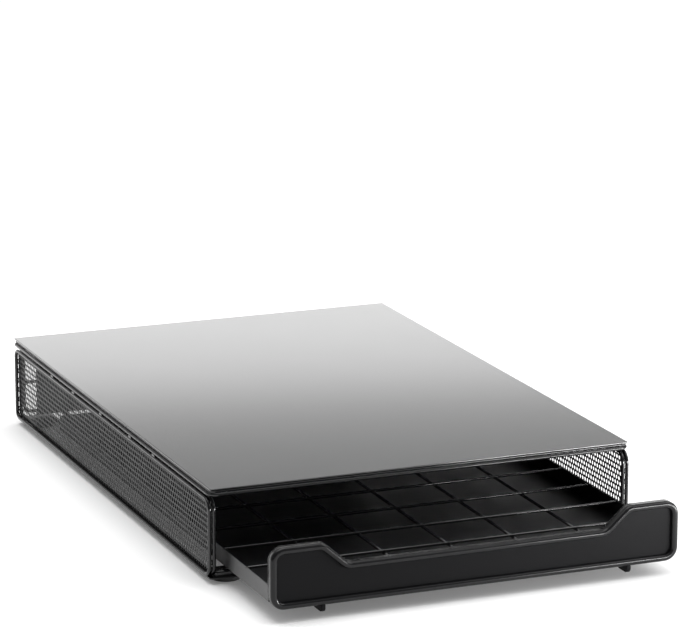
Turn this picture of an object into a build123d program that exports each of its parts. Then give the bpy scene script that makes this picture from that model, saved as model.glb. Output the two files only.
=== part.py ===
from build123d import *
import os

# Coffee pod drawer: an open steel case with a flat top plate for the machine, and
# a shallow wire-divided drawer that slides out of its front on two runner rails.
# Millimetres. +X is to the right, +Y to the back and +Z up. The counter is z = 0 and
# the origin is under the middle of the whole object with the drawer part way out.

# ---- case ------------------------------------------------------------------------
PLATE_WIDTH = 275.0          # top plate, side to side
PLATE_DEPTH = 394.0          # top plate, front to back
PLATE_THICKNESS = 1.0
CASE_HEIGHT = 59.5           # counter to plate top
DRAWER_OUT = 82.6            # panel front ahead of the plate's front edge, at rest

STRIP_THICKNESS = 1.5        # flat strip welded round the plate's underside
STRIP_WIDTH = 10.0
STRIP_INSET = 0.2            # behind the plate's edge
STRIP_CORNER = 4.0

FRAME_WIRE = 2.3             # wire ring under the strip, its middle below the plate's edge
FRAME_CORNER = 6.0           # bend radius of its centre line

SIDE_WIRE = 2.3              # two closed loops a side, with the mesh held between them
SIDE_OVERHANG = 1.15         # the outer loops stand this far outside the plate
SIDE_FRONT_SETBACK = 0.4     # loops' front end behind the plate's front edge
SIDE_BACK_SETBACK = 3.5      # loops' back end ahead of the plate's back edge
SIDE_GAP = 1.3               # between the frame wire and the loops' top
SIDE_CORNER = 7.0            # the loops' front corners
SIDE_BACK_CORNER = 4.5

SIDE_SHEET = 0.4             # perforated side sheet
SIDE_SHEET_LAP = 1.1         # its edge, laid between the two loops
SIDE_GAP_PITCH_Y = 8.0
SIDE_GAP_PITCH_Z = 6.6
SIDE_GAP_DIAMETER = 5.2
SIDE_SHEET_BORDER = 1.3      # least web between a gap and the loops
SEAT = 0.03                  # weld gap between wires, sheets and what they are welded to

TAB_WIDTH = 4.6              # short posts between the frame wire and the loops
TAB_THICKNESS = 1.8
TAB_PLACES = (100.0, 145.0, 203.0, 260.0, 305.6)

BAR_WIRE = 3.6               # cross bar between the loops' front legs
BAR_SETBACK = 1.8            # its middle behind the plate's front edge
BAR_TOP = 8.7                # counter to the top of the front and back cross bars

BACK_WIRE = 2.3              # upright loop inside the back, and its cross wire
BACK_CORNER = 5.0
BACK_WIRE_HEIGHT = 28.5

BACK_PANEL_WIDTH = 248.0
BACK_PANEL_THICKNESS = 0.8
BACK_PANEL_MARGIN = 0.8      # above the corner plates and below the strip
BACK_STOP_GAP = 0.5          # tray's rear wall to the back panel when it is shut

RAIL_DIAMETER = 3.3          # runner rails, lying on the front and back cross bars
RAIL_SPACING = 220.0
RAIL_FRONT = 0.6             # behind the plate's front edge
RAIL_END_GAP = 0.3           # rails to the back panel

FOOT_DIAMETER = 19.0
FOOT_HEIGHT = 3.3
FOOT_EDGE = 0.6
FOOT_SIDE_INSET = 13.7       # foot's middle inside the outer loop's wire
FOOT_FRONT = 11.5            # front feet behind the plate's front edge
FOOT_BACK = 15.0             # back feet ahead of the plate's back edge
GUSSET_THICKNESS = 0.8       # corner plates between the wires and the feet
GUSSET_WIDTH = 25.0
GUSSET_DEPTH = 22.0
GUSSET_CORNER = 3.0
RIVET_SHANK = 4.0
RIVET_HEAD = 8.0
RIVET_HEAD_HEIGHT = 1.0
RIVET_RECESS = 1.7           # depth of the foot's lower recess
RIVET_FIT = 0.1              # all round the shank
RECESS_DIAMETER = 11.0

# ---- drawer ----------------------------------------------------------------------
RUNNING_GAP = 0.3            # tray floor over the rails
TRAY_SIDE_GAP = 3.6          # side walls inside the inner loops
TRAY_WALL_HEIGHT = 10.7
TRAY_SHEET = 0.8
ROW_PITCH = 39.0             # as many rows as fit, from the front
COLUMN_PITCH = 42.0          # an even number of columns, the outer two take what is left
DIVIDER_WIRE = 1.8

PANEL_OVERHANG = 0.6         # beyond the tray's side walls
PANEL_DROP = 4.0             # below the tray's underside
PANEL_EAR_HEIGHT = 37.3      # from the panel's bottom to the top of its ears
PANEL_SCOOP_HEIGHT = 23.9    # from the panel's bottom to the low middle
EAR_WIDTH = 33.2             # along the ear's top
EAR_SLOPE = 15.3             # across, from the ear's top down to the low middle
PANEL_CORNER = 8.5
EAR_CORNER = 8.0
SCOOP_CORNER = 6.0
PANEL_RIM = 4.1              # rim, seen from the front
PANEL_RIM_DEPTH = 6.5
PANEL_RIM_ROUND = 1.9
PANEL_RECESS = 3.0           # sheet behind the rim's front
PANEL_SHEET = 1.0

LUG_INSET = 32.5             # stop lugs inside the panel's ends
LUG_WIDTH = 2.8
LUG_LENGTH = 12.5
LUG_DROP = 4.5               # below the panel's bottom
LUG_SETBACK = 0.9            # behind the rim's front
LUG_CORNER = 2.8
STOP_GAP = 0.3               # lugs to the front cross bar when the drawer is shut
OPEN_TRAVEL = 220.0          # from the rest pose to fully out

# ---- places that follow from the sizes --------------------------------------------
FRONT_Y = (DRAWER_OUT - PLATE_DEPTH - FRAME_WIRE / 2) / 2      # the plate's front edge
BACK_Y = FRONT_Y + PLATE_DEPTH
PANEL_Y = FRONT_Y - DRAWER_OUT                 # the front of the drawer's rim

PLATE_Z = CASE_HEIGHT - PLATE_THICKNESS
STRIP_Z = PLATE_Z - STRIP_THICKNESS
FRAME_Z = STRIP_Z - FRAME_WIRE                 # underside of the frame wire
WIRES_Z = FOOT_HEIGHT + GUSSET_THICKNESS       # underside of the case's wires
SIDE_TOP = FRAME_Z - SIDE_GAP
SIDE_FRONT = FRONT_Y + SIDE_FRONT_SETBACK
SIDE_LENGTH = PLATE_DEPTH - SIDE_FRONT_SETBACK - SIDE_BACK_SETBACK
OUTER_X = PLATE_WIDTH / 2 + SIDE_OVERHANG - SIDE_WIRE / 2
MESH_X = OUTER_X - SIDE_WIRE / 2 - SEAT - SIDE_SHEET / 2
INNER_X = MESH_X - SIDE_SHEET / 2 - SEAT - SIDE_WIRE / 2
INSIDE = INNER_X - SIDE_WIRE / 2               # half the room between the inner loops
BAR_Y = FRONT_Y + BAR_SETBACK
BACK_HOOP_X = INSIDE - SEAT - BACK_WIRE / 2
BACK_HOOP_Y = SIDE_FRONT + SIDE_LENGTH - SIDE_WIRE / 2
BACK_PANEL_Y = BACK_HOOP_Y - BACK_WIRE / 2 - BACK_PANEL_THICKNESS
FOOT_X = OUTER_X - FOOT_SIDE_INSET
RAIL_Z = BAR_TOP + RAIL_DIAMETER / 2
TRAY_Z = RAIL_Z + RAIL_DIAMETER / 2 + RUNNING_GAP

TRAY_HALF = INSIDE - TRAY_SIDE_GAP
PANEL_HALF = TRAY_HALF + PANEL_OVERHANG
PANEL_BOTTOM = TRAY_Z - PANEL_DROP
PANEL_BACK = PANEL_Y + PANEL_RIM_DEPTH
SHEET_BACK = PANEL_Y + PANEL_RECESS + PANEL_SHEET
SHUT_TRAVEL = DRAWER_OUT + BAR_SETBACK - BAR_WIRE / 2 - LUG_LENGTH - STOP_GAP
TRAY_BACK = BACK_PANEL_Y - BACK_STOP_GAP - SHUT_TRAVEL
CELLS_BACK = TRAY_BACK - TRAY_SHEET
CELLS_FRONT = SHEET_BACK
WALL_TOP = TRAY_Z + TRAY_WALL_HEIGHT
ROW_WIRE_Z = WALL_TOP - DIVIDER_WIRE / 2
COLUMN_WIRE_Z = ROW_WIRE_Z - DIVIDER_WIRE

SIDES = (("left", -1), ("right", 1))
ENDS = (("front", FRONT_Y + FOOT_FRONT), ("back", BACK_Y - FOOT_BACK))


def block(x0, x1, y0, y1, z0, z1):
    """A box between two corners."""
    return Pos((x0 + x1) / 2, (y0 + y1) / 2, (z0 + z1) / 2) * Box(x1 - x0, y1 - y0, z1 - z0)


def rod(start, end, diameter):
    """A straight round wire between two points."""
    axis = Vector(*end) - Vector(*start)
    face = Plane(origin=start, z_dir=axis) * Circle(diameter / 2)
    return extrude(face, axis.length)


def wire_loop(plane, half_width, low, high, corners, diameter):
    """A closed ring of round wire: two halves that meet face to face, fused.

    The two corner radii are for the halves at the negative and positive end."""
    middle = (low + high) / 2
    halves = []
    for side, corner in zip((-1, 1), corners):
        path = FilletPolyline(
            (0, low), (side * half_width, low), (side * half_width, middle), radius=corner
        ) + FilletPolyline(
            (side * half_width, middle), (side * half_width, high), (0, high), radius=corner
        )
        path = plane * path
        start = plane * Location((0, low, 0), (0, 90, 0)) * Circle(diameter / 2)
        halves.append(sweep(start, path=path))
    return halves[0] + halves[1]


def corners_at(face, places, height):
    """The face's corners at any of the given first places and one height."""
    return [
        corner
        for corner in face.vertices()
        if min(abs(corner.X - place) for place in places) < 0.01 and abs(corner.Y - height) < 0.01
    ]


def panel_outline():
    """The panel's outline in X and Z: a low middle between two raised ears."""
    ear = PANEL_BOTTOM + PANEL_EAR_HEIGHT
    scoop = PANEL_BOTTOM + PANEL_SCOOP_HEIGHT
    ear_x = PANEL_HALF - EAR_WIDTH
    scoop_x = ear_x - EAR_SLOPE
    right = [(PANEL_HALF, PANEL_BOTTOM), (PANEL_HALF, ear), (ear_x, ear), (scoop_x, scoop)]
    left = [(-x, z) for x, z in reversed(right)]
    face = make_face(Polyline(*right, *left, close=True))
    for x, z, radius in (
        (PANEL_HALF, PANEL_BOTTOM, PANEL_CORNER),
        (PANEL_HALF, ear, PANEL_CORNER),
        (ear_x, ear, EAR_CORNER),
        (scoop_x, scoop, SCOOP_CORNER),
    ):
        face = fillet(corners_at(face, (x, -x), z), radius)
    return face


def perforated_side(x):
    """A side sheet between its loops, with staggered round gaps, as one holed face."""
    low = WIRES_Z + SIDE_WIRE
    high = SIDE_TOP - SIDE_WIRE
    length = SIDE_LENGTH - 2 * SIDE_WIRE
    middle = SIDE_FRONT + SIDE_LENGTH / 2
    corner = SIDE_CORNER - SIDE_WIRE / 2
    room = length / 2 - SIDE_SHEET_BORDER - SIDE_GAP_DIAMETER / 2
    rows = int((high - low - 2 * SIDE_SHEET_BORDER - SIDE_GAP_DIAMETER) / SIDE_GAP_PITCH_Z) + 1
    gaps = []
    for row in range(rows):
        z = (low + high) / 2 + (row - (rows - 1) / 2) * SIDE_GAP_PITCH_Z
        end_row = row in (0, rows - 1)
        reach = room - (corner / 2 if end_row else 0)
        shift = SIDE_GAP_PITCH_Y / 2 if row % 2 else 0
        count = int((reach - shift) / SIDE_GAP_PITCH_Y)
        first = -count if shift == 0 else -count - 1
        for step in range(first, count + 1):
            gaps.append((middle + step * SIDE_GAP_PITCH_Y + shift, z))
    plane = Plane(origin=(x, 0, 0), x_dir=(0, 1, 0), z_dir=(1, 0, 0))
    outline = Pos(middle, (low + high) / 2) * RectangleRounded(
        length + 2 * SIDE_SHEET_LAP, high - low + 2 * SIDE_SHEET_LAP, corner + SIDE_SHEET_LAP
    )
    rings = [Pos(y, z) * Wire.make_circle(SIDE_GAP_DIAMETER / 2) for y, z in gaps]
    face = Face(outline.face().outer_wire(), rings)
    print("gaps in a side sheet:", len(gaps))
    return extrude(plane * face, SIDE_SHEET / 2, both=True)


nodes = {}

# ---- top ---------------------------------------------------------------------------
nodes["top_plate"] = block(
    -PLATE_WIDTH / 2, PLATE_WIDTH / 2, FRONT_Y, BACK_Y, PLATE_Z, CASE_HEIGHT
)

strip_middle = Pos(0, (FRONT_Y + BACK_Y) / 2, STRIP_Z)
strip_width = PLATE_WIDTH - 2 * STRIP_INSET
strip_depth = PLATE_DEPTH - 2 * STRIP_INSET
strip_face = RectangleRounded(strip_width, strip_depth, STRIP_CORNER) - Rectangle(
    strip_width - 2 * STRIP_WIDTH, strip_depth - 2 * STRIP_WIDTH
)
nodes["plate_support_strip"] = extrude(strip_middle * strip_face, STRIP_THICKNESS)

nodes["top_frame_wire"] = wire_loop(
    Plane.XY.offset(FRAME_Z + FRAME_WIRE / 2),
    PLATE_WIDTH / 2,
    FRONT_Y,
    BACK_Y,
    (FRAME_CORNER, FRAME_CORNER),
    FRAME_WIRE,
)

# ---- sides -------------------------------------------------------------------------
for name, side in SIDES:
    half = (SIDE_LENGTH - SIDE_WIRE) / 2
    low = WIRES_Z + SIDE_WIRE / 2
    high = SIDE_TOP - SIDE_WIRE / 2
    corners = (SIDE_CORNER, SIDE_BACK_CORNER)
    for loop, x in (("outer", side * OUTER_X), ("inner", side * INNER_X)):
        middle = (x, SIDE_FRONT + SIDE_LENGTH / 2, 0)
        plane = Plane(origin=middle, x_dir=(0, 1, 0), z_dir=(1, 0, 0))
        nodes[f"{name}_{loop}_loop"] = wire_loop(plane, half, low, high, corners, SIDE_WIRE)
    nodes[name + "_side_mesh"] = perforated_side(side * MESH_X)

    tabs = []
    for place in TAB_PLACES:
        y = FRONT_Y + place
        x0, x1 = side * OUTER_X - TAB_THICKNESS / 2, side * OUTER_X + TAB_THICKNESS / 2
        tab = block(x0, x1, y - TAB_WIDTH / 2, y + TAB_WIDTH / 2, SIDE_TOP, FRAME_Z)
        tabs.append(tab)
    nodes[name + "_side_tabs"] = Compound(children=tabs)

# ---- cross bars, back panel and rails -----------------------------------------------
bar_end = INSIDE - SEAT
bar_z = BAR_TOP - BAR_WIRE / 2
nodes["front_cross_bar"] = rod((-bar_end, BAR_Y, bar_z), (bar_end, BAR_Y, bar_z), BAR_WIRE)

back_low = BAR_TOP - BACK_WIRE / 2
back_high = STRIP_Z - SEAT - BACK_WIRE / 2
nodes["back_hoop"] = wire_loop(
    Plane(origin=(0, BACK_HOOP_Y, 0), x_dir=(1, 0, 0), z_dir=(0, -1, 0)),
    BACK_HOOP_X, back_low, back_high, (BACK_CORNER, BACK_CORNER), BACK_WIRE,
)
cross = BACK_HOOP_X - BACK_WIRE / 2 - SEAT
nodes["back_cross_wire"] = rod(
    (-cross, BACK_HOOP_Y, BACK_WIRE_HEIGHT), (cross, BACK_HOOP_Y, BACK_WIRE_HEIGHT), BACK_WIRE
)
nodes["back_panel"] = block(
    -BACK_PANEL_WIDTH / 2, BACK_PANEL_WIDTH / 2,
    BACK_PANEL_Y, BACK_PANEL_Y + BACK_PANEL_THICKNESS,
    WIRES_Z + BACK_PANEL_MARGIN, STRIP_Z - BACK_PANEL_MARGIN,
)
for name, side in SIDES:
    x = side * RAIL_SPACING / 2
    nodes[name + "_runner_rail"] = rod(
        (x, FRONT_Y + RAIL_FRONT, RAIL_Z), (x, BACK_PANEL_Y - RAIL_END_GAP, RAIL_Z), RAIL_DIAMETER
    )

# ---- feet --------------------------------------------------------------------------
bore = RIVET_SHANK / 2 + RIVET_FIT
rivets = []
for end, foot_y in ENDS:
    for name, side in SIDES:
        x = side * FOOT_X
        foot = Pos(x, foot_y, FOOT_HEIGHT / 2) * Cylinder(FOOT_DIAMETER / 2, FOOT_HEIGHT)
        foot = chamfer(foot.edges().group_by(Axis.Z)[0], FOOT_EDGE)
        foot -= Pos(x, foot_y, FOOT_HEIGHT / 2) * Cylinder(bore, FOOT_HEIGHT)
        foot -= Pos(x, foot_y, RIVET_RECESS / 2) * Cylinder(RECESS_DIAMETER / 2, RIVET_RECESS)
        nodes[f"{end}_{name}_foot"] = foot

        outer = side * OUTER_X
        x0, x1 = sorted((outer, outer - side * GUSSET_WIDTH))
        wire_y = SIDE_FRONT if end == "front" else SIDE_FRONT + SIDE_LENGTH
        back = wire_y + GUSSET_DEPTH if end == "front" else wire_y - GUSSET_DEPTH
        y0, y1 = sorted((wire_y, back))
        gusset = Pos((x0 + x1) / 2, (y0 + y1) / 2, FOOT_HEIGHT) * extrude(
            RectangleRounded(x1 - x0, y1 - y0, GUSSET_CORNER), GUSSET_THICKNESS
        )
        gusset -= Pos(x, foot_y, FOOT_HEIGHT) * Cylinder(bore, 4 * GUSSET_THICKNESS)
        nodes[f"{end}_{name}_foot_gusset"] = gusset

        low_z = RIVET_RECESS - RIVET_HEAD_HEIGHT
        head_r = RIVET_HEAD / 2
        lower = Pos(x, foot_y, low_z + RIVET_HEAD_HEIGHT / 2) * Cylinder(head_r, RIVET_HEAD_HEIGHT)
        shank_len = WIRES_Z - RIVET_RECESS
        shank = Pos(x, foot_y, RIVET_RECESS + shank_len / 2) * Cylinder(RIVET_SHANK / 2, shank_len)
        upper = Pos(x, foot_y, WIRES_Z + RIVET_HEAD_HEIGHT / 2) * Cylinder(head_r, RIVET_HEAD_HEIGHT)
        upper = fillet(upper.edges().group_by(Axis.Z)[-1], RIVET_HEAD_HEIGHT * 0.8)
        rivets.append(lower + shank + upper)
nodes["foot_rivets"] = Compound(children=rivets)

# ---- tray --------------------------------------------------------------------------
inner_x = TRAY_HALF - TRAY_SHEET
nodes["tray_floor"] = block(
    -inner_x, inner_x, PANEL_BACK, CELLS_BACK, TRAY_Z, TRAY_Z + TRAY_SHEET
)
for name, side in SIDES:
    x0, x1 = sorted((side * inner_x, side * TRAY_HALF))
    nodes[f"tray_{name}_wall"] = block(x0, x1, PANEL_BACK, CELLS_BACK, TRAY_Z, WALL_TOP)
nodes["tray_rear_wall"] = block(
    -TRAY_HALF, TRAY_HALF, CELLS_BACK, TRAY_BACK, TRAY_Z, WALL_TOP
)

rows = []
row_count = int((CELLS_BACK - CELLS_FRONT) / ROW_PITCH + 0.01)
for row in range(1, row_count):
    y = CELLS_FRONT + row * ROW_PITCH
    rows.append(rod((-inner_x, y, ROW_WIRE_Z), (inner_x, y, ROW_WIRE_Z), DIVIDER_WIRE))
nodes["row_wires"] = Compound(children=rows)

columns = []
column_reach = int(inner_x / COLUMN_PITCH) - 1
for column in range(-column_reach, column_reach + 1):
    x = column * COLUMN_PITCH
    start = (x, SHEET_BACK, COLUMN_WIRE_Z)
    columns.append(rod(start, (x, CELLS_BACK, COLUMN_WIRE_Z), DIVIDER_WIRE))
nodes["column_wires"] = Compound(children=columns)

# ---- drawer front --------------------------------------------------------------------
outline = panel_outline()
opening = offset(outline, -PANEL_RIM)
upright = Plane(origin=(0, PANEL_Y, 0), x_dir=(1, 0, 0), z_dir=(0, -1, 0))
rim = extrude(upright * (outline - opening), -PANEL_RIM_DEPTH)
nodes["drawer_front_rim"] = fillet(rim.edges().group_by(Axis.Y)[0], PANEL_RIM_ROUND)
sheet_plane = upright.offset(-PANEL_RECESS)
nodes["drawer_front_panel"] = extrude(sheet_plane * opening, -PANEL_SHEET)

lug_front = PANEL_Y + LUG_SETBACK
lug_back = PANEL_Y + LUG_LENGTH
lug_low = PANEL_BOTTOM - LUG_DROP
for name, side in SIDES:
    side_plane = Plane(origin=(side * (PANEL_HALF - LUG_INSET), 0, 0), x_dir=(0, 1, 0), z_dir=(1, 0, 0))
    lug_face = make_face(
        Polyline(
            (lug_front, PANEL_BOTTOM),
            (lug_front, lug_low),
            (lug_back, lug_low),
            (lug_back, TRAY_Z),
            (PANEL_BACK, TRAY_Z),
            (PANEL_BACK, PANEL_BOTTOM),
            close=True,
        )
    )
    lug_face = fillet(corners_at(lug_face, (lug_front,), lug_low), LUG_CORNER)
    nodes[name + "_stop_lug"] = extrude(side_plane * lug_face, LUG_WIDTH / 2, both=True)

print("drawer travel:", -round(SHUT_TRAVEL, 3), "to", OPEN_TRAVEL)
print("tray back:", round(TRAY_BACK, 3), "back loop:", round(BACK_HOOP_Y, 3))

os.makedirs("parts", exist_ok=True)
for name, shape in nodes.items():
    export_step(shape, f"parts/{name}.step")
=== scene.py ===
import math

import bmesh
import bpy
import numpy as np
from bpy.props import FloatProperty, FloatVectorProperty, IntProperty, PointerProperty
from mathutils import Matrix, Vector


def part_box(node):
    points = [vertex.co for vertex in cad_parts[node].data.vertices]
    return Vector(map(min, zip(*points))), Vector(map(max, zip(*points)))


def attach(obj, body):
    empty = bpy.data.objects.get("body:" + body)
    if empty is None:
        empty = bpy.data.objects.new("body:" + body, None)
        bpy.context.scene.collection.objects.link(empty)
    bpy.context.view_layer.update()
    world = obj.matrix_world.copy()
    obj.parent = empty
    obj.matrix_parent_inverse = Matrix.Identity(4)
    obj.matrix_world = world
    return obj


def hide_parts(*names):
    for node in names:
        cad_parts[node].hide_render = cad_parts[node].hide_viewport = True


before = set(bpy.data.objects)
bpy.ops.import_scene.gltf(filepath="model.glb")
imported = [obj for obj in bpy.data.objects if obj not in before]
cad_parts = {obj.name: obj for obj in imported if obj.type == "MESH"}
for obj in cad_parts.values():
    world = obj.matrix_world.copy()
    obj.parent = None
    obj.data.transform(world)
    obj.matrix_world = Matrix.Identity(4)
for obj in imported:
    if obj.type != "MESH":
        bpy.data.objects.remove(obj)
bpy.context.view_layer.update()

bl_info = {
    "name": "Coffee pod drawer",
    "version": (1, 0, 0),
    "blender": (4, 5, 0),
    "location": "3D Viewport > Sidebar > Pod drawer",
    "description": "Builds the surfaces and finishes of a wire-divided coffee pod drawer",
    "category": "Add Mesh",
}

MM = 0.001
TAU = 2 * math.pi
SIDES = ("left", "right")
ROWS, COLUMNS = 9, 5          # divider wires across and along the tray
PLANES = {"XY": (0, 1, 2), "XZ": (0, 2, 1), "YZ": (1, 2, 0)}    # first, second, depth axis

# Measures that stay out of the sidebar.
WIRE_RUN, RIM_RUN = 40 * MM, 12 * MM      # longest faces along the wires and the front's rim
CORNER_STEPS, LUG_STEPS = 11, 6           # points on a bent corner
PLATE_CORNER, STRIP_CORNER = 0.7 * MM, 4 * MM
STRIP_WIDTH, STRIP_CHIP = 10 * MM, 0.25 * MM
WALL_CORNER, WALL_EDGE = 0.3 * MM, 0.35 * MM
LUG_CORNER, LUG_NOSE, LUG_EDGE = 0.2 * MM, 2.8 * MM, 0.4 * MM
RIM_CHIP, RIM_STEPS = 0.4 * MM, 9
DIVIDER_SIDES, FOOT_SIDES, WELD_SIDES = 14, 48, 16
DIVIDER_WELD = (1.05 * MM, 1.05 * MM, 0.6 * MM)
RAIL_WELD = (1.9 * MM, 1.0 * MM, 0.45 * MM)
BAR_WELD_REACH, BAR_WELD_OVER = 0.8 * MM, 0.15 * MM       # along the bar, and past its radius
RIM_WELD_PLACE, RIM_WELD_OVER = (2 * MM, 0.02 * MM), (0.5 * MM, 0.1 * MM)

# A foot's section in millimetres, radius and height, from its bore through the rivet's
# recess and round its rim.
FOOT_SECTION = (
    (2.1, 3.3), (2.1, 1.7), (5.5, 1.7), (5.5, 0.35), (5.8, 0.06), (6.2, 0.0), (8.4, 0.0),
    (8.9, 0.14), (9.2, 0.5), (9.35, 1.2), (9.5, 2.5), (9.45, 2.95), (9.3, 3.2), (9.0, 3.3),
)

# Sprayed coat: features per metre, and how much each counts.
RIPPLES, PATCHES, SPECKS = 220, 28, 420
RIPPLE_HEIGHT, SPECK_SIZE, PATCH_DUST = 0.6, 0.07, 0.15
DUST_COLOUR = (0.32, 0.32, 0.32, 1)

# Stage: the lamps with place, aim, width and height, power in watts, and whether they
# light matt surfaces or only show in glossy ones.
LAMPS = {
    "key": ((1.6, -0.6, 1.7), (0, 0, 0.03), (1.4, 1.4), 24, True),
    "low": ((0.34, -0.47, 0.03), (0.13, -0.24, 0.03), (0.36, 0.05), 2.6, True),
    "top": ((-0.2, 0.4, 2.4), (0, 0, 0.03), (2.2, 2.2), 48, True),
    "behind": ((0.7, 2.9, 0.46), (0, 0.05, 0.4), (4.6, 0.8), 15, False),
}
CAMERA_PLACE, CAMERA_AIM = (-0.8272, -2.0624, 0.6637), (0.0967, 0.2175, 0.0599)
CAMERA_LENS, CAMERA_SENSOR, CAMERA_CLIP = 189.5, 36.0, (0.05, 50)
FLOOR_REACH, FLOOR_GLOW = 9.0, 0.1
BRIGHT_SIDE = (0.55, 0.78, 0.25)          # where the surroundings are at their lightest
FADE_FROM, FADE_TO = (-0.85, 0.45), (0.25, 1.0)
WORLD_IN_GLOSS = 0.45


def low(node):
    return np.array(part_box(node)[0])


def high(node):
    return np.array(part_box(node)[1])


def middle(node):
    return (low(node) + high(node)) / 2


# ---- sizes and colours that a user would change -------------------------------------


class PodWireSizes(bpy.types.PropertyGroup):
    """Bends and smoothness of the round wires."""

    side_bend: FloatProperty(
        name="Side loop bend", description="Bend radius at the front of the side loops",
        default=7.0 * MM, unit="LENGTH",
    )
    side_back_bend: FloatProperty(
        name="Side loop back bend", description="Bend radius at the back of the side loops",
        default=4.5 * MM, unit="LENGTH",
    )
    back_bend: FloatProperty(
        name="Back loop bend", description="Bend radius of the upright loop at the back",
        default=5.0 * MM, unit="LENGTH",
    )
    ring_bend: FloatProperty(
        name="Top ring bend", description="Bend radius of the ring under the plate",
        default=6.0 * MM, unit="LENGTH",
    )
    around: IntProperty(name="Sides", description="Sides of each round wire", default=20)


class PodSheetSizes(bpy.types.PropertyGroup):
    """The perforated sides and the top plate's edge."""

    pitch_along: FloatProperty(
        name="Hole pitch along", description="Between neighbouring holes in one row",
        default=3.39 * MM, unit="LENGTH",
    )
    pitch_across: FloatProperty(
        name="Row pitch", description="Between one row of holes and the next",
        default=3.26 * MM, unit="LENGTH",
    )
    hole_width: FloatProperty(
        name="Hole width", description="Width of a hole in the sides",
        default=2.35 * MM, unit="LENGTH",
    )
    hole_height: FloatProperty(
        name="Hole height", description="Height of a hole in the sides",
        default=2.75 * MM, unit="LENGTH",
    )
    gauge: FloatProperty(
        name="Perforated gauge", description="Thickness of the perforated sheets",
        default=0.3 * MM, unit="LENGTH",
    )
    plate_edge: FloatProperty(
        name="Plate edge", description="Rounding of the top plate's edges",
        default=0.3 * MM, unit="LENGTH",
    )


class PodPanelSizes(bpy.types.PropertyGroup):
    """The drawer front."""

    rim_width: FloatProperty(
        name="Rim width", description="Width of the rim seen from the front",
        default=4.1 * MM, unit="LENGTH",
    )
    rim_round: FloatProperty(
        name="Rim rounding", description="Radius of the rim's rounded front",
        default=1.9 * MM, unit="LENGTH",
    )
    ear_width: FloatProperty(
        name="Ear width", description="Length of each ear's top edge to its sharp corner",
        default=33.2 * MM, unit="LENGTH",
    )
    ear_slope: FloatProperty(
        name="Ear slope", description="How far the slope runs across",
        default=15.3 * MM, unit="LENGTH",
    )
    scoop_height: FloatProperty(
        name="Scoop height", description="Height of the low middle over the bottom edge",
        default=23.9 * MM, unit="LENGTH",
    )
    corner: FloatProperty(
        name="Corner", description="Radius of the four outer corners",
        default=8.5 * MM, unit="LENGTH",
    )
    ear_corner: FloatProperty(
        name="Ear corner", description="Radius at the top of the slope",
        default=8.0 * MM, unit="LENGTH",
    )
    scoop_corner: FloatProperty(
        name="Scoop corner", description="Radius at the foot of the slope",
        default=6.0 * MM, unit="LENGTH",
    )


class PodFinish(bpy.types.PropertyGroup):
    """Colours of the finishes."""

    coat: FloatVectorProperty(
        name="Powder coat", description="Black coat of the wires and the drawer",
        default=(0.006, 0.006, 0.0065), subtype="COLOR",
    )
    plate: FloatVectorProperty(
        name="Plate lacquer", description="Smooth black coat of the top plate",
        default=(0.006, 0.006, 0.0065), subtype="COLOR",
    )
    rubber: FloatVectorProperty(
        name="Foot rubber", description="Black rubber of the feet",
        default=(0.022, 0.022, 0.022), subtype="COLOR",
    )
    floor: FloatProperty(
        name="Floor", description="Paleness of the studio floor", default=0.9, subtype="FACTOR"
    )


# ---- shapes as arrays ----------------------------------------------------------------


def bent_outline(corners, radii, steps=CORNER_STEPS):
    """Closed outline in 2-D with an arc at each corner.

    At a corner the arc starts and ends r * tan(half the turn) from it, along its two
    sides, and its points are the arc's centre plus r times the turning unit normal.
    """
    corners = np.asarray(corners, float)
    out = []
    for i, here in enumerate(corners):
        into = here - corners[i - 1]
        away = corners[(i + 1) % len(corners)] - here
        into /= np.hypot(*into)
        away /= np.hypot(*away)
        turn = math.atan2(into[0] * away[1] - into[1] * away[0], into @ away)
        radius = radii[i]
        start = here - into * radius * math.tan(abs(turn) / 2)
        normal = np.array([-into[1], into[0]]) * math.copysign(1, turn)
        angle = np.linspace(0, turn, steps)
        ahead = np.array([normal[1], -normal[0]])
        spun = ahead[:, None] * np.sin(angle) - normal[:, None] * np.cos(angle)
        out.append((start + normal * radius)[:, None] + radius * spun)
    return np.hstack(out).T


def subdivide(outline, longest):
    """The closed outline with each run longer than the given length cut into equal parts."""
    ahead = np.roll(outline, -1, axis=0)
    length = np.linalg.norm(ahead - outline, axis=1)
    parts = np.maximum(1, np.ceil(length / longest)).astype(int)
    start = np.repeat(outline, parts, axis=0)
    step = np.repeat((ahead - outline) / parts[:, None], parts, axis=0)
    count = np.arange(parts.sum()) - np.repeat(np.cumsum(parts) - parts, parts)
    return start + step * count[:, None]


def side_normals(outline):
    """Normals to the left of a closed 2-D outline, from the sum of the two runs that meet.

    They are stretched at a corner, so that an offset along them keeps its distance from
    both runs: with the sum s turned a quarter, the normal is 2 s / (s * s).
    """
    run = np.roll(outline, -1, axis=0) - outline
    run /= np.maximum(np.linalg.norm(run, axis=1, keepdims=True), 1e-12)
    both = run + np.roll(run, 1, axis=0)
    stretch = 2 / np.maximum((both**2).sum(1, keepdims=True), 1e-9)
    return np.stack([-both[:, 1], both[:, 0]], axis=1) * stretch


def grid_quads(rows, columns, wrap_rows):
    """Four-cornered faces of a grid of points whose columns, and rows too if asked, wrap."""
    index = np.arange(rows * columns).reshape(rows, columns)
    if wrap_rows:
        index = np.vstack([index, index[:1]])
    index = np.hstack([index, index[:, :1]])
    quads = np.stack([index[:-1, :-1], index[:-1, 1:], index[1:, 1:], index[1:, :-1]], axis=-1)
    return quads.reshape(-1, 4)


def lift(flat, plane):
    """Points given as first place, second place and depth in a plane, as X, Y and Z."""
    points = np.empty_like(flat)
    points[..., PLANES[plane]] = flat
    return points


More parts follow.
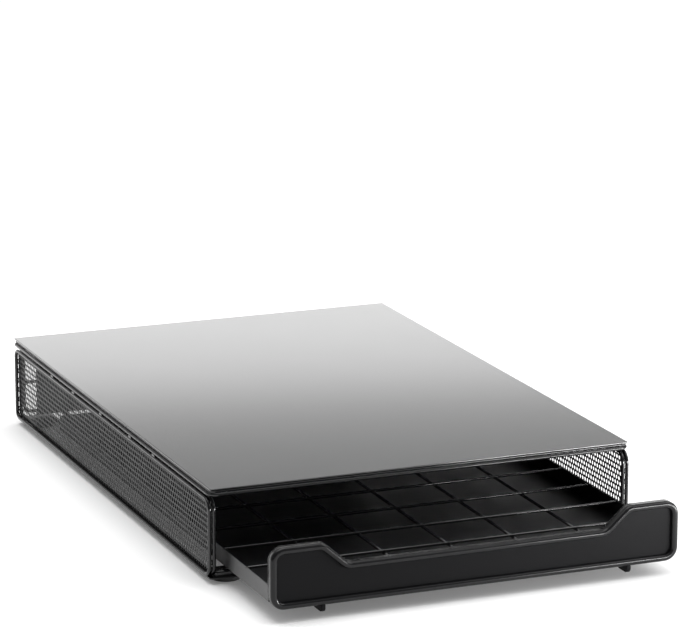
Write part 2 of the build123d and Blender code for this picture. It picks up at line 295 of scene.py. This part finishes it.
def new_piece(name, points, faces, smooth=True):
    """A mesh object at the origin from arrays, with its faces pointing outwards."""
    mesh = bpy.data.meshes.new(name)
    mesh.from_pydata(points.reshape(-1, 3).tolist(), [], faces)
    shell = bmesh.new()
    shell.from_mesh(mesh)
    bmesh.ops.recalc_face_normals(shell, faces=shell.faces)
    for face in shell.faces:
        face.smooth = smooth and len(face.verts) <= 4
    shell.to_mesh(mesh)
    shell.free()
    piece = bpy.data.objects.new(name, mesh)
    bpy.context.scene.collection.objects.link(piece)
    return piece


def settle(piece, body, slot, coat, *nodes):
    """Gives a piece its finish, its body and the nodes that it stands for."""
    piece.data.materials.append(coat)
    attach(piece, body)
    if nodes:
        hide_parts(*nodes)
    return piece


def carried(outline, section, plane):
    """A closed section carried along a closed flat outline.

    Point (i, j) is outline point i, plus the first value of section point j along the
    outline's side normal, with the second value of section point j as its depth.
    """
    section = np.asarray(section, float)
    flat = outline[:, None] + section[None, :, :1] * side_normals(outline)[:, None]
    depth = np.broadcast_to(section[:, 1], flat.shape[:2])[..., None]
    faces = grid_quads(len(outline), len(section), True).tolist()
    return lift(np.dstack([flat, depth]), plane), faces


def round_section(depth, radius, around):
    """A circle as a section: cosine across the outline, sine in depth."""
    angle = np.arange(around) * TAU / around
    return np.stack([radius * np.cos(angle), depth + radius * np.sin(angle)], axis=1)


def straight_rods(starts, ends, radius, around, dome=0.25):
    """Round rods between pairs of points, each end a low dome.

    At angle e from the pole an end's ring has the radius times sin e and lies the
    dome's height times 1 - cos e inside the rod's end.
    """
    starts = np.asarray(starts, float)
    axis = np.asarray(ends, float) - starts
    length = np.linalg.norm(axis, axis=1, keepdims=True)
    unit = axis / length
    helper = np.where(np.abs(unit[:, 2:]) > 0.9, [[1.0, 0, 0]], [[0, 0, 1.0]])
    across = np.cross(unit, helper)
    across /= np.linalg.norm(across, axis=1, keepdims=True)
    up = np.cross(across, unit)
    pole = np.linspace(0.05, math.pi / 2, 5)
    ring = radius * np.sin(pole)
    inside = dome * radius * (1 - np.cos(pole))
    ring = np.concatenate([ring, ring[::-1]])
    along = np.hstack([np.tile(inside, (len(starts), 1)), length - inside[::-1]])
    angle = np.arange(around)[:, None, None] * TAU / around
    circle = (np.cos(angle) * across + np.sin(angle) * up).transpose(1, 0, 2)
    points = (
        starts[:, None, None]
        + along[:, :, None, None] * unit[:, None, None]
        + ring[None, :, None, None] * circle[:, None]
    )
    return points, capped_tubes(*points.shape[:3])


def capped_tubes(tubes, rings, around):
    """Faces of several like tubes, each a grid of rings closed at both ends."""
    quads = grid_quads(rings, around, False)
    first = np.arange(tubes) * rings * around
    faces = (quads[None] + first[:, None, None]).reshape(-1, 4).tolist()
    cap = np.arange(around)
    for end in (0, (rings - 1) * around):
        faces += (cap[None] + first[:, None] + end).tolist()
    return faces


def flat_outline(node, plane, bends, inset=0.0):
    """The outline of a node's box in a plane, its corners bent, moved in by a distance."""
    flat = list(PLANES[plane][:2])
    (left, bottom), (right, top) = (low(node) + inset)[flat], (high(node) - inset)[flat]
    corners = [(left, bottom), (right, bottom), (right, top), (left, top)]
    return bent_outline(corners, np.broadcast_to(bends, 4))


def slab(outline, node, plane, edge, steps=4):
    """A flat plate as thick as its node, with softly rounded edges.

    Ring k of the edge lies edge * (1 - cos a) inside the outline and edge * (1 - sin a)
    from the nearer face, as a quarter circle, and the two faces close the ends.
    """
    out = PLANES[plane][2]
    bottom, top = low(node)[out], high(node)[out]
    angle = np.linspace(0, math.pi / 2, steps)
    rise, run = edge * (1 - np.sin(angle)), edge * (1 - np.cos(angle))
    inset = np.concatenate([rise, run])
    depth = np.concatenate([bottom + run, top - rise])
    ahead = np.roll(outline, -1, axis=0)
    area = (outline[:, 0] * ahead[:, 1] - outline[:, 1] * ahead[:, 0]).sum()
    inward = side_normals(outline) * math.copysign(1, area)
    flat = outline[None] + inset[:, None, None] * inward[None]
    points = np.dstack([flat, np.broadcast_to(depth[:, None], flat.shape[:2])[..., None]])
    faces = grid_quads(len(inset), len(outline), False).tolist()
    ring = np.arange(len(outline))
    faces += [ring.tolist(), (ring + (len(inset) - 1) * len(outline)).tolist()]
    return lift(points, plane), faces


def draw_in(flat, corner_low, corner_high, bends, kept=0.02):
    """Points past a rounded corner, drawn in to it along the corner's radius.

    A small part of the distance past the bend is kept, so that no two points meet. The
    bends are those at the low and the high end of the first axis.
    """
    flat = flat.copy()
    for end, bend in zip((-1, 1), bends):
        for edge in (-1, 1):
            toward = np.array([end, edge])
            half = (corner_high - corner_low) / 2 - bend
            centre = (corner_low + corner_high) / 2 + toward * half
            away = flat - centre
            reach = np.hypot(*away.T)
            past = (away * toward > 0).all(axis=1) & (reach > bend)
            scale = (bend + kept * (reach - bend)) / reach
            flat[past] = centre + away[past] * scale[past, None]
    return flat


def perforated(corner_low, corner_high, pitches, hole, depth, gauge, plane, bends):
    """A sheet with staggered holes, cut from bricks that share their corners.

    Each brick is a rectangle round one hole. The points of the hole are its middle plus
    half the hole's two widths times cosine and sine at even angles, joined to as many
    points on the brick's border, and every second row is moved along by half a brick.
    The flat web is then doubled a gauge apart, and walls join the two along each edge
    that only one face has. The pitches are fitted to a whole number of bricks.
    """
    corner_low, corner_high = np.asarray(corner_low), np.asarray(corner_high)
    across, rows = np.round((corner_high - corner_low) / pitches).astype(int)
    pitch = (corner_high - corner_low) / (across, rows)
    border = [(2, 0), (2, 1), (1, 1), (0, 1), (-1, 1), (-2, 1)]
    border += [(-x, -y) for x, y in border]
    border = np.array(border) * pitch / (4, 2)
    sides = len(border)
    angle = np.arange(sides) * TAU / sides
    rim = np.stack([np.cos(angle), np.sin(angle)], axis=1) * hole / 2
    row, column = np.divmod(np.arange(rows * across), across)
    brick = np.stack([column + 0.5 + np.where(row % 2, 0.25, -0.25), row + 0.5], axis=1)
    centre = corner_low + brick * pitch
    moved = np.linalg.norm(draw_in(centre, corner_low, corner_high, bends) - centre, axis=1)
    centre = centre[moved < pitch[1] / 3]
    cells = np.concatenate([centre[:, None] + rim, centre[:, None] + border], axis=1)
    inner = np.arange(sides)
    outer = inner + sides
    cell = np.stack([inner, outer, np.roll(outer, -1), np.roll(inner, -1)], axis=1)
    quads = cell[None] + (np.arange(len(centre)) * 2 * sides)[:, None, None]
    flat = cells.reshape(-1, 2)
    key = np.round(flat / (1e-3 * MM)).astype(np.int64)
    _, index, back = np.unique(key, axis=0, return_index=True, return_inverse=True)
    quads = back.reshape(-1)[quads.reshape(-1, 4)]
    flat = draw_in(flat[index], corner_low, corner_high, bends)
    count = len(flat)
    front = np.column_stack([flat, np.full(count, depth - gauge / 2)])
    rear = np.column_stack([flat, np.full(count, depth + gauge / 2)])
    edges = np.stack([quads, np.roll(quads, -1, axis=1)], axis=-1).reshape(-1, 2)
    _, place, uses = np.unique(
        np.sort(edges, axis=1), axis=0, return_index=True, return_counts=True
    )
    lone = edges[place[uses == 1]]
    walls = np.column_stack([lone[:, 1], lone[:, 0], lone[:, 0] + count, lone[:, 1] + count])
    faces = np.vstack([quads, quads[:, ::-1] + count, walls])
    return lift(np.vstack([front, rear]), plane), faces.tolist()


def turned(profile, centre, around):
    """A ring-shaped solid: the closed profile of radius and height turned about +Z."""
    angle = np.arange(around) * TAU / around
    profile = np.asarray(profile, float)
    points = np.stack(
        [
            centre[0] + profile[None, :, 0] * np.cos(angle)[:, None],
            centre[1] + profile[None, :, 0] * np.sin(angle)[:, None],
            centre[2] + np.broadcast_to(profile[None, :, 1], (around, len(profile))),
        ],
        axis=-1,
    )
    return points, grid_quads(around, len(profile), True).tolist()


def beads(centres, radii, around=10, rings=7):
    """Low weld beads: each an ellipsoid, its centre plus its radii times a unit sphere."""
    centres = np.asarray(centres, float)
    radii = np.broadcast_to(np.asarray(radii, float), centres.shape)
    height = np.linspace(-math.pi / 2 + 0.02, math.pi / 2 - 0.02, rings)[:, None]
    turn = np.arange(around) * TAU / around
    sphere = np.stack(
        np.broadcast_arrays(
            np.cos(height) * np.cos(turn), np.cos(height) * np.sin(turn), np.sin(height)
        ),
        axis=-1,
    )
    points = centres[:, None, None] + radii[:, None, None] * sphere[None]
    return points, capped_tubes(*points.shape[:3])


# ---- finishes ------------------------------------------------------------------------


def paint_grain_group():
    """Shared group: the fine waviness, specks and uneven gloss of a sprayed coat."""
    name = "Sprayed coat"
    if name in bpy.data.node_groups:
        return bpy.data.node_groups[name]
    group = bpy.data.node_groups.new(name, "ShaderNodeTree")
    face = group.interface
    for label, kind, value in (
        ("Colour", "NodeSocketColor", (0.01, 0.01, 0.01, 1)),
        ("Grain per metre", "NodeSocketFloat", 1400.0),
        ("Roughness", "NodeSocketFloat", 0.4),
        ("Unevenness", "NodeSocketFloat", 0.1),
        ("Dust", "NodeSocketFloat", 0.02),
    ):
        face.new_socket(name=label, in_out="INPUT", socket_type=kind).default_value = value
    face.new_socket(name="Colour", in_out="OUTPUT", socket_type="NodeSocketColor")
    face.new_socket(name="Roughness", in_out="OUTPUT", socket_type="NodeSocketFloat")
    face.new_socket(name="Height", in_out="OUTPUT", socket_type="NodeSocketFloat")
    nodes, link = group.nodes, group.links.new
    enter = nodes.new("NodeGroupInput")
    leave = nodes.new("NodeGroupOutput")
    place = nodes.new("ShaderNodeTexCoord")

    def feed(socket, value):
        """Sets a socket to a number, or links another node's output to it."""
        if isinstance(value, (int, float)):
            socket.default_value = value
        else:
            link(value, socket)

    def noise(per_metre, detail):
        node = nodes.new("ShaderNodeTexNoise")
        link(place.outputs["Object"], node.inputs["Vector"])
        feed(node.inputs["Scale"], per_metre)
        feed(node.inputs["Detail"], detail)
        return node

    def maths(operation, *values):
        node = nodes.new("ShaderNodeMath")
        node.operation = operation
        for socket, value in zip(node.inputs, values):
            feed(socket, value)
        return node.outputs[0]

    grain = noise(enter.outputs["Grain per metre"], 3)
    grain.inputs["Roughness"].default_value = 0.55
    ripple = noise(RIPPLES, 2)
    patches = noise(PATCHES, 4)
    specks = nodes.new("ShaderNodeTexVoronoi")
    specks.inputs["Scale"].default_value = SPECKS
    link(place.outputs["Object"], specks.inputs["Vector"])

    # Height: the grain plus part of the ripple.
    height = maths(
        "MULTIPLY_ADD", ripple.outputs["Fac"], RIPPLE_HEIGHT, grain.outputs["Fac"]
    )
    link(height, leave.inputs["Height"])

    # Gloss: the roughness leans with the patches and with the grain, both about 0.5.
    rough = enter.outputs["Roughness"]
    for texture in (patches, grain):
        lean = maths("SUBTRACT", texture.outputs["Fac"], 0.5)
        lean = maths("MULTIPLY", lean, enter.outputs["Unevenness"])
        rough = maths("ADD", rough, lean)
    link(rough, leave.inputs["Roughness"])

    # Colour: specks of dust, and a thin wide veil of it.
    speck = maths("LESS_THAN", specks.outputs["Distance"], SPECK_SIZE)
    speck = maths("MULTIPLY", speck, enter.outputs["Dust"])
    wide = maths("MULTIPLY", patches.outputs["Fac"], enter.outputs["Dust"])
    wide = maths("MULTIPLY", wide, PATCH_DUST)
    dust = maths("ADD", speck, wide)
    mix = nodes.new("ShaderNodeMix")
    mix.data_type = "RGBA"
    link(dust, mix.inputs["Factor"])
    link(enter.outputs["Colour"], mix.inputs["A"])
    mix.inputs["B"].default_value = DUST_COLOUR
    link(mix.outputs["Result"], leave.inputs["Colour"])
    return group


def coat(name, colour, roughness, unevenness=0.1, grain=2600, depth=0.015 * MM, dust=0.012,
         specular=0.5, ior=1.5, clear=0.0, clear_roughness=0.1):
    """A sprayed coat: its own gloss and grain depth round the shared group."""
    if name in bpy.data.materials:
        return bpy.data.materials[name]
    material = bpy.data.materials.new(name)
    material.use_nodes = True
    nodes, link = material.node_tree.nodes, material.node_tree.links.new
    shader = nodes["Principled BSDF"]
    spray = nodes.new("ShaderNodeGroup")
    spray.node_tree = paint_grain_group()
    spray.inputs["Colour"].default_value = (*colour, 1)
    spray.inputs["Grain per metre"].default_value = grain
    spray.inputs["Roughness"].default_value = roughness
    spray.inputs["Unevenness"].default_value = unevenness
    spray.inputs["Dust"].default_value = dust
    bump = nodes.new("ShaderNodeBump")
    bump.inputs["Distance"].default_value = depth
    link(spray.outputs["Height"], bump.inputs["Height"])
    link(bump.outputs["Normal"], shader.inputs["Normal"])
    link(spray.outputs["Colour"], shader.inputs["Base Color"])
    link(spray.outputs["Roughness"], shader.inputs["Roughness"])
    shader.inputs["Specular IOR Level"].default_value = specular
    shader.inputs["IOR"].default_value = ior
    shader.inputs["Coat Weight"].default_value = clear
    shader.inputs["Coat Roughness"].default_value = clear_roughness
    shader.inputs["Coat IOR"].default_value = ior
    return material


def finishes():
    """The sprayed coats and the rubber, made once."""
    tone = bpy.context.scene.pod_finish
    return {
        "plate": coat(
            "Plate lacquer", tone.plate, 0.18, unevenness=0.04, grain=900, depth=0.003 * MM,
            dust=0.003, clear=1.0, clear_roughness=0.1,
        ),
        "front": coat(
            "Front powder coat", tone.coat, 0.36, unevenness=0.08, depth=0.02 * MM, dust=0.006,
            specular=0.06,
        ),
        "rim": coat("Rim powder coat", tone.coat, 0.22, depth=0.01 * MM, specular=0.25),
        "wire": coat("Wire powder coat", tone.coat, 0.16, unevenness=0.06, depth=0.008 * MM),
        "sheet": coat("Tray powder coat", tone.coat, 0.32, depth=0.015 * MM),
        "mesh": coat("Mesh powder coat", tone.coat, 0.42, dust=0.02, specular=0.3),
        "rivet": coat("Rivet coat", tone.coat, 0.3, depth=0.01 * MM),
        "rubber": coat(
            "Foot rubber", tone.rubber, 0.62, unevenness=0.15, grain=1500, depth=0.03 * MM,
            dust=0.04,
        ),
    }


def keep_node(node, material):
    """A CAD node whose shape is right stays, with a better finish."""
    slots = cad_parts[node].data.materials
    slots.clear()
    slots.append(material)


# ---- operators: one for each group of pieces -------------------------------------------


class POD_OT_top_plate(bpy.types.Operator):
    """Builds the flat top plate and the strip under its edges"""

    bl_idname = "pod.top_plate"
    bl_label = "Top plate"

    def execute(self, context):
        finish = finishes()
        edge = context.scene.pod_sheet.plate_edge
        outline = flat_outline("top_plate", "XY", PLATE_CORNER)
        piece = new_piece("plate", *slab(outline, "top_plate", "XY", edge))
        settle(piece, "case", "plate_black", finish["plate"], "top_plate")

        # The strip's section: a flat bar with broken edges, from its rim inwards.
        bottom, top = low("plate_support_strip")[2], high("plate_support_strip")[2]
        width, chip = STRIP_WIDTH, STRIP_CHIP
        section = [
            (0, bottom + chip), (chip, bottom), (width - chip, bottom), (width, bottom + chip),
            (width, top - chip), (width - chip, top), (chip, top), (0, top - chip),
        ]
        outline = flat_outline("plate_support_strip", "XY", STRIP_CORNER)
        outline = subdivide(outline, WIRE_RUN)
        piece = new_piece("strip_under_plate", *carried(outline, section, "XY"))
        settle(piece, "case", "wire_black", finish["wire"], "plate_support_strip")
        return {"FINISHED"}


class POD_OT_wire_loops(bpy.types.Operator):
    """Builds the closed loops of round wire that make the case"""

    bl_idname = "pod.wire_loops"
    bl_label = "Case wire loops"

    def loop(self, name, node, plane, bends, around):
        """One closed loop on the middle of its node, as thick as the node is deep."""
        out = PLANES[plane][2]
        radius = (high(node)[out] - low(node)[out]) / 2
        outline = subdivide(flat_outline(node, plane, bends, radius), WIRE_RUN)
        section = round_section(middle(node)[out], radius, around)
        piece = new_piece(name, *carried(outline, section, plane))
        settle(piece, "case", "wire_black", finishes()["wire"], node)

    def execute(self, context):
        size = context.scene.pod_wire
        front, back = size.side_bend, size.side_back_bend
        bends = [front, back, back, front]
        for side in SIDES:
            for place in ("outer", "inner"):
                name = f"{side}_{place}"
                self.loop(f"{name}_wire", f"{name}_loop", "YZ", bends, size.around)
        self.loop("back_upright_wire", "back_hoop", "XZ", size.back_bend, size.around)
        self.loop("ring_under_plate", "top_frame_wire", "XY", size.ring_bend, size.around)
        return {"FINISHED"}


class POD_OT_rods(bpy.types.Operator):
    """Builds the straight rods: cross bars, runner rails and the tray's dividers"""

    bl_idname = "pod.rods"
    bl_label = "Straight rods"

    def rods(self, name, node, run, count, body, around):
        """Equal rods along X (run 0) or Y (run 1), spread evenly over the node's box."""
        a, b = low(node), high(node)
        spread = 1 - run
        radius = (b[2] - a[2]) / 2
        starts = np.zeros((count, 3))
        starts[:, spread] = np.linspace(a[spread] + radius, b[spread] - radius, count)
        starts[:, 2] = (a[2] + b[2]) / 2
        ends = starts.copy()
        starts[:, run], ends[:, run] = a[run], b[run]
        piece = new_piece(name, *straight_rods(starts, ends, radius, around))
        settle(piece, body, "wire_black", finishes()["wire"], node)

    def execute(self, context):
        around = context.scene.pod_wire.around
        self.rods("front_cross_rod", "front_cross_bar", 0, 1, "case", around)
        self.rods("back_cross_rod", "back_cross_wire", 0, 1, "case", around)
        for side in SIDES:
            self.rods(f"{side}_rail", f"{side}_runner_rail", 1, 1, "case", around)
        self.rods("row_dividers", "row_wires", 0, ROWS, "drawer", DIVIDER_SIDES)
        self.rods("column_dividers", "column_wires", 1, COLUMNS, "drawer", DIVIDER_SIDES)
        return {"FINISHED"}


class POD_OT_perforated_sheets(bpy.types.Operator):
    """Builds the finely perforated side sheets"""

    bl_idname = "pod.perforated_sheets"
    bl_label = "Perforated sheets"

    def execute(self, context):
        finish = finishes()["mesh"]
        size, wire = context.scene.pod_sheet, context.scene.pod_wire
        pitches = np.array([size.pitch_along, size.pitch_across])
        hole = np.array([size.hole_width, size.hole_height])
        for side in SIDES:
            node = f"{side}_side_mesh"
            points, faces = perforated(
                low(node)[1:], high(node)[1:], pitches, hole, middle(node)[0], size.gauge,
                "YZ", (wire.side_bend, wire.side_back_bend),
            )
            piece = new_piece(f"{side}_perforated_side", points, faces, smooth=False)
            settle(piece, "case", "mesh_black", finish, node)
        return {"FINISHED"}


class POD_OT_drawer_front(bpy.types.Operator):
    """Builds the rolled rim of the drawer front and the stop lugs, and finishes its sheet"""

    bl_idname = "pod.drawer_front"
    bl_label = "Drawer front"

    def outline(self, size):
        """The front's outline in X and Z: a low middle between two raised ears."""
        (_, _, z0), (half, _, z1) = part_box("drawer_front_rim")
        ear = half - size.ear_width
        foot = ear - size.ear_slope
        scoop = z0 + size.scoop_height
        right = [(half, z0), (half, z1), (ear, z1), (foot, scoop)]
        corners = right + [(-x, z) for x, z in reversed(right)]
        radii = [size.corner, size.corner, size.ear_corner, size.scoop_corner]
        return subdivide(bent_outline(corners, radii + radii[::-1]), RIM_RUN)

    def execute(self, context):
        finish = finishes()["front"]
        size = context.scene.pod_panel
        front, rear = low("drawer_front_rim")[1], high("drawer_front_rim")[1]
        width, bend = size.rim_width, size.rim_round
        # The rim's section: a front of two quarter circles, straight flanks and a back
        # with lightly broken edges, carried along the outline.
        angle = np.linspace(0, math.pi / 2, RIM_STEPS)
        sine, cosine = np.sin(angle), np.cos(angle)
        chip = RIM_CHIP
        section = np.concatenate(
            [
                np.stack([bend - bend * cosine, front + bend - bend * sine], axis=1),
                np.stack([width - bend + bend * sine, front + bend - bend * cosine], axis=1),
                [(width, rear - chip), (width - chip, rear), (chip, rear), (0, rear - chip)],
            ]
        )
        piece = new_piece("front_rolled_rim", *carried(self.outline(size), section, "XZ"))
        settle(piece, "drawer", "front_black", finishes()["rim"], "drawer_front_rim")
        keep_node("drawer_front_panel", finish)

        # A lug is a flat hook under the rim, with its lower front corner rounded.
        under = low("drawer_front_rim")[2]
        radii = [LUG_CORNER, LUG_NOSE] + [LUG_CORNER] * 4
        for side in SIDES:
            node = f"{side}_stop_lug"
            (_, y0, z0), (_, y1, z1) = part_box(node)
            corners = [(y0, under), (y0, z0), (y1, z0), (y1, z1), (rear, z1), (rear, under)]
            outline = bent_outline(corners, radii, LUG_STEPS)
            piece = new_piece(f"{side}_lug", *slab(outline, node, "YZ", LUG_EDGE))
            settle(piece, "drawer", "front_black", finish, node)

        # The rim's wire is butt-welded near the middle of its lower run.
        (x, out), (long, over) = RIM_WELD_PLACE, RIM_WELD_OVER
        weld = [(x, front + bend + out, under + width / 2)]
        points, faces = beads(weld, (long, bend, width / 2 + over), WELD_SIDES, 11)
        settle(new_piece("rim_weld", points, faces), "drawer", "front_black", finishes()["rim"])
        return {"FINISHED"}


class POD_OT_small_parts(bpy.types.Operator):
    """Builds the tray walls, feet and weld beads and finishes the sheets that stay"""

    bl_idname = "pod.small_parts"
    bl_label = "Walls, feet and welds"

    def execute(self, context):
        finish = finishes()
        for sheet in ("floor", "left_wall", "right_wall", "rear_wall"):
            node = f"tray_{sheet}"
            plane = {"floor": "XY", "rear_wall": "XZ"}.get(sheet, "YZ")
            outline = flat_outline(node, plane, WALL_CORNER)
            piece = new_piece(f"drawer_{sheet}", *slab(outline, node, plane, WALL_EDGE))
            settle(piece, "drawer", "wire_black", finish["sheet"], node)

        section = np.array(FOOT_SECTION) * MM
        for end in ("front", "back"):
            for side in SIDES:
                node = f"{end}_{side}_foot"
                centre = np.array([*middle(node)[:2], low(node)[2]])
                foot = turned(section, centre, FOOT_SIDES)
                piece = new_piece(f"{end}_{side}_rubber_foot", *foot)
                settle(piece, "case", "rubber_foot", finish["rubber"], node)
                keep_node(f"{end}_{side}_foot_gusset", finish["wire"])
        keep_node("foot_rivets", finish["rivet"])
        keep_node("back_panel", finish["wire"])
        for side in SIDES:
            keep_node(f"{side}_side_tabs", finish["wire"])

        self.tray_welds(finish["wire"])
        self.case_welds(finish["wire"])
        return {"FINISHED"}

    def tray_welds(self, finish):
        """Beads where the dividers cross and where they meet the walls."""
        rows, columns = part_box("row_wires"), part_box("column_wires")
        radius = (rows[1][2] - rows[0][2]) / 2
        ys = np.linspace(rows[0][1] + radius, rows[1][1] - radius, ROWS)
        xs = np.linspace(columns[0][0] + radius, columns[1][0] - radius, COLUMNS)
        grid = np.stack(np.meshgrid(xs, ys, indexing="ij"), axis=-1).reshape(-1, 2)
        crossings = np.column_stack([grid, np.full(len(grid), columns[1][2])])
        ends = [(x, y, middle("row_wires")[2]) for x in (rows[0][0], rows[1][0]) for y in ys]
        ends += [(x, columns[1][1], middle("column_wires")[2]) for x in xs]
        points, faces = beads(np.vstack([crossings, ends]), DIVIDER_WELD)
        settle(new_piece("divider_welds", points, faces), "drawer", "wire_black", finish)

    def case_welds(self, finish):
        """Beads between the rails and the wires that carry them, and at the bars' ends."""
        rail_x = [middle(f"{side}_runner_rail")[0] for side in SIDES]
        bar, hoop = middle("front_cross_bar"), middle("back_hoop")
        rest = high("front_cross_bar")[2]
        centres = [(x, y, rest) for x in rail_x for y in (bar[1], hoop[1])]
        radii = [RAIL_WELD] * len(centres)
        for node in ("front_cross_bar", "back_cross_wire"):
            _, y, z = middle(node)
            thick = (high(node)[2] - low(node)[2]) / 2 + BAR_WELD_OVER
            centres += [(low(node)[0], y, z), (high(node)[0], y, z)]
            radii += [(BAR_WELD_REACH, thick, thick)] * 2
        points, faces = beads(centres, radii, WELD_SIDES)
        settle(new_piece("case_welds", points, faces), "case", "wire_black", finish)


class POD_OT_stage(bpy.types.Operator):
    """Sets the pale floor, the soft lights and the camera"""

    bl_idname = "pod.stage"
    bl_label = "Stage"

    def floor(self, paleness):
        """A wide plain floor that shows pale to the camera and keeps its shadow."""
        mesh = bpy.data.meshes.new("studio_floor")
        corners = [(-1, -1), (1, -1), (1, 1), (-1, 1)]
        corners = [(x * FLOOR_REACH, y * FLOOR_REACH, 0) for x, y in corners]
        mesh.from_pydata(corners, [], [(0, 1, 2, 3)])
        floor = bpy.data.objects.new("studio_floor", mesh)
        bpy.context.scene.collection.objects.link(floor)
        material = bpy.data.materials.new("Studio floor")
        material.use_nodes = True
        nodes, link = material.node_tree.nodes, material.node_tree.links.new
        shader = nodes["Principled BSDF"]
        shader.inputs["Base Color"].default_value = (paleness, paleness, paleness, 1)
        shader.inputs["Roughness"].default_value = 1.0
        shader.inputs["Specular IOR Level"].default_value = 0.0
        path = nodes.new("ShaderNodeLightPath")
        seen = nodes.new("ShaderNodeMath")
        seen.operation = "MAXIMUM"
        link(path.outputs["Is Camera Ray"], seen.inputs[0])
        link(path.outputs["Is Glossy Ray"], seen.inputs[1])
        amount = nodes.new("ShaderNodeMath")
        amount.operation = "MULTIPLY"
        link(seen.outputs[0], amount.inputs[0])
        amount.inputs[1].default_value = FLOOR_GLOW
        shader.inputs["Emission Color"].default_value = (1, 1, 1, 1)
        link(amount.outputs[0], shader.inputs["Emission Strength"])
        mesh.materials.append(material)

    def world(self):
        """White where it is seen, dimmer in front of the object and in its reflections."""
        world = bpy.context.scene.world or bpy.data.worlds.new("Studio")
        bpy.context.scene.world = world
        world.use_nodes = True
        nodes, link = world.node_tree.nodes, world.node_tree.links.new
        nodes.clear()
        out = nodes.new("ShaderNodeOutputWorld")
        place = nodes.new("ShaderNodeTexCoord")
        dot = nodes.new("ShaderNodeVectorMath")
        dot.operation = "DOT_PRODUCT"
        dot.inputs[1].default_value = Vector(BRIGHT_SIDE).normalized()
        link(place.outputs["Generated"], dot.inputs[0])
        fade = nodes.new("ShaderNodeMapRange")
        for label, limits in (("From", FADE_FROM), ("To", FADE_TO)):
            for end, value in zip(("Min", "Max"), limits):
                fade.inputs[f"{label} {end}"].default_value = value
        link(dot.outputs["Value"], fade.inputs["Value"])
        path = nodes.new("ShaderNodeLightPath")
        gloss = nodes.new("ShaderNodeMapRange")
        gloss.inputs["To Min"].default_value = 1.0
        gloss.inputs["To Max"].default_value = WORLD_IN_GLOSS
        link(path.outputs["Is Glossy Ray"], gloss.inputs["Value"])
        level = nodes.new("ShaderNodeMath")
        level.operation = "MULTIPLY"
        link(fade.outputs["Result"], level.inputs[0])
        link(gloss.outputs["Result"], level.inputs[1])
        shine = nodes.new("ShaderNodeBackground")
        link(level.outputs[0], shine.inputs["Strength"])
        white = nodes.new("ShaderNodeBackground")
        white.inputs["Strength"].default_value = 1.0
        mix = nodes.new("ShaderNodeMixShader")
        link(path.outputs["Is Camera Ray"], mix.inputs["Fac"])
        link(shine.outputs[0], mix.inputs[1])
        link(white.outputs[0], mix.inputs[2])
        link(mix.outputs[0], out.inputs["Surface"])

    def lamp(self, name, place, aim, size, power, lights_matt):
        """A soft area lamp that looks at a point and doesn't show to the camera."""
        data = bpy.data.lights.new(name, "AREA")
        data.shape = "RECTANGLE"
        data.size, data.size_y = size
        data.energy = power
        lamp = bpy.data.objects.new(name, data)
        lamp.location = place
        lamp.rotation_euler = (Vector(aim) - Vector(place)).to_track_quat("-Z", "Y").to_euler()
        lamp.visible_camera = False
        lamp.visible_diffuse = lights_matt
        bpy.context.scene.collection.objects.link(lamp)

    def execute(self, context):
        self.floor(context.scene.pod_finish.floor)
        self.world()
        for name, lamp in LAMPS.items():
            self.lamp(name, *lamp)
        eye = bpy.data.cameras.new("camera")
        eye.lens, eye.sensor_width = CAMERA_LENS, CAMERA_SENSOR
        eye.clip_start, eye.clip_end = CAMERA_CLIP
        camera = bpy.data.objects.new("camera", eye)
        place, aim = Vector(CAMERA_PLACE), Vector(CAMERA_AIM)
        camera.location = place
        camera.rotation_euler = (aim - place).to_track_quat("-Z", "Y").to_euler()
        context.scene.collection.objects.link(camera)
        context.scene.camera = camera
        context.scene.view_settings.view_transform = "Standard"
        return {"FINISHED"}


class POD_PT_sidebar(bpy.types.Panel):
    """Sidebar list of the pieces"""

    bl_idname = "POD_PT_sidebar"
    bl_label = "Pod drawer"
    bl_space_type = "VIEW_3D"
    bl_region_type = "UI"
    bl_category = "Pod drawer"

    def draw(self, context):
        for operator in OPERATORS:
            self.layout.operator(operator.bl_idname)
        for name, _ in GROUPS:
            group = getattr(context.scene, name)
            box = self.layout.box()
            for key in group.__annotations__:
                box.prop(group, key)


OPERATORS = (
    POD_OT_top_plate,
    POD_OT_wire_loops,
    POD_OT_rods,
    POD_OT_perforated_sheets,
    POD_OT_drawer_front,
    POD_OT_small_parts,
    POD_OT_stage,
)
GROUPS = (
    ("pod_wire", PodWireSizes),
    ("pod_sheet", PodSheetSizes),
    ("pod_panel", PodPanelSizes),
    ("pod_finish", PodFinish),
)


def register():
    for name, group in GROUPS:
        bpy.utils.register_class(group)
        setattr(bpy.types.Scene, name, PointerProperty(type=group))
    for operator in OPERATORS:
        bpy.utils.register_class(operator)
    bpy.utils.register_class(POD_PT_sidebar)


def unregister():
    bpy.utils.unregister_class(POD_PT_sidebar)
    for operator in reversed(OPERATORS):
        bpy.utils.unregister_class(operator)
    for name, group in reversed(GROUPS):
        delattr(bpy.types.Scene, name)
        bpy.utils.unregister_class(group)


def main():
    register()
    for operator in OPERATORS:
        family, name = operator.bl_idname.split(".")
        getattr(getattr(bpy.ops, family), name)()


if __name__ == "__main__":
    main()
